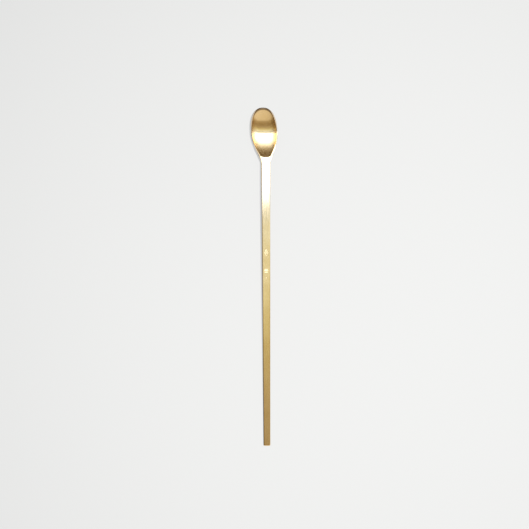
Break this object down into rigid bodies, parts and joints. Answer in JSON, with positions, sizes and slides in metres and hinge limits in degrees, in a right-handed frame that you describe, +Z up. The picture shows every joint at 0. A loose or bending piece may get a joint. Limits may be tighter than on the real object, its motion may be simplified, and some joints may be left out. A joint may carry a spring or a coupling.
{
  "type": "bar spoon",
  "caption": "Long bar spoon in brushed brass: an egg-shaped deep bowl on a slim flat tapered handle, for stirring, measuring and layering drinks.",
  "frame": {"origin": "bottom centre of the bounding box, on the surface that the spoon lies on", "axes": "+Y along the handle towards the tip of the bowl, +Z up out of the bowl's hollow, +X to the right seen from above with the tip pointing away"},
  "size_m": [0.0236, 0.3, 0.0082],
  "materials": {
    "brushed_brass": "brushed along the length, satin",
    "braze_alloy": "filed flush and brushed with the bar"
  },
  "bodies": {
    "root": {"bowl": "brushed_brass", "handle": "brushed_brass", "braze_seam": "braze_alloy"}
  },
  "joints": []
}
